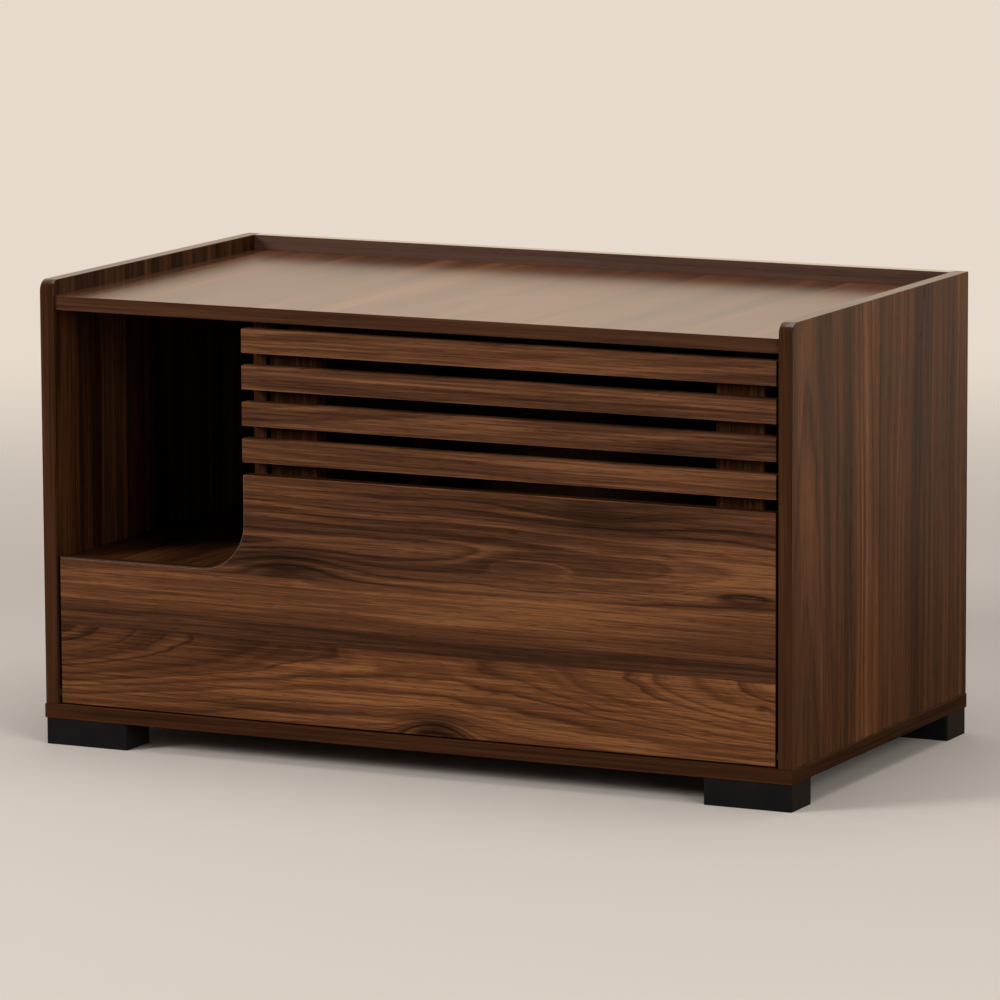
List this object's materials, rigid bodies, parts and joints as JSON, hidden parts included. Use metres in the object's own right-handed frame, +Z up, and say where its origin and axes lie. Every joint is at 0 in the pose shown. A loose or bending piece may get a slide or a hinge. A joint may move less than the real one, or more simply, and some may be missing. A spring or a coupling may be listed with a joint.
{
  "type": "cat house",
  "caption": "Low walnut-laminate cat house with a stepped side entry, a slatted drop-down front on pivot pins, a landing shelf, a divider with a pass-through and black plastic feet.",
  "frame": {"origin": "middle of the rectangle that the house covers, on the floor", "axes": "+X to the right seen from the front, +Y to the back, +Z up"},
  "size_m": [0.86, 0.46, 0.493],
  "materials": {
    "walnut_laminate": "satin walnut-grain laminate on particle board",
    "back_board": "matt printed hardboard",
    "foot_plastic": "black moulded plastic with a slight sheen",
    "fitting_plastic": "dark brown moulded plastic",
    "zinc_steel": "zinc-plated steel",
    "cam_zinc": "cast zinc",
    "magnet": "dark magnet with steel poles",
    "beech": "bare fluted beech"
  },
  "bodies": {
    "carcass": {"left_side_panel": "walnut_laminate", "right_side_panel": "walnut_laminate", "base_board": "walnut_laminate", "top_board": "walnut_laminate", "gallery_rail": "walnut_laminate", "divider_panel": "walnut_laminate", "landing_shelf": "walnut_laminate", "back_panel": "back_board", "catch_screws": "zinc_steel", "foot_screws": "zinc_steel", "base_screws": "zinc_steel", "cam_bolts": "zinc_steel", "foot_front_left": "foot_plastic", "foot_front_right": "foot_plastic", "foot_rear_left": "foot_plastic", "foot_rear_right": "foot_plastic", "left_pivot_bush": "fitting_plastic", "right_pivot_bush": "fitting_plastic", "left_catch": "fitting_plastic", "right_catch": "fitting_plastic", "cam_locks": "cam_zinc", "catch_magnets": "magnet", "joint_dowels": "beech"},
    "front": {"door_panel": "walnut_laminate", "slat_1": "walnut_laminate", "slat_2": "walnut_laminate", "slat_3": "walnut_laminate", "slat_4": "walnut_laminate", "left_batten": "walnut_laminate", "right_batten": "walnut_laminate", "left_pivot_pin": "zinc_steel", "right_pivot_pin": "zinc_steel", "strike_plates": "zinc_steel", "strike_screws": "zinc_steel", "batten_screws": "zinc_steel"}
  },
  "joints": [
    {"name": "front_drop", "type": "hinge", "parent": "carcass", "child": "front", "pos_m": [0, -0.2215, 0.055], "axis": [1, 0, 0], "range_deg": [0, 97]}
  ]
}
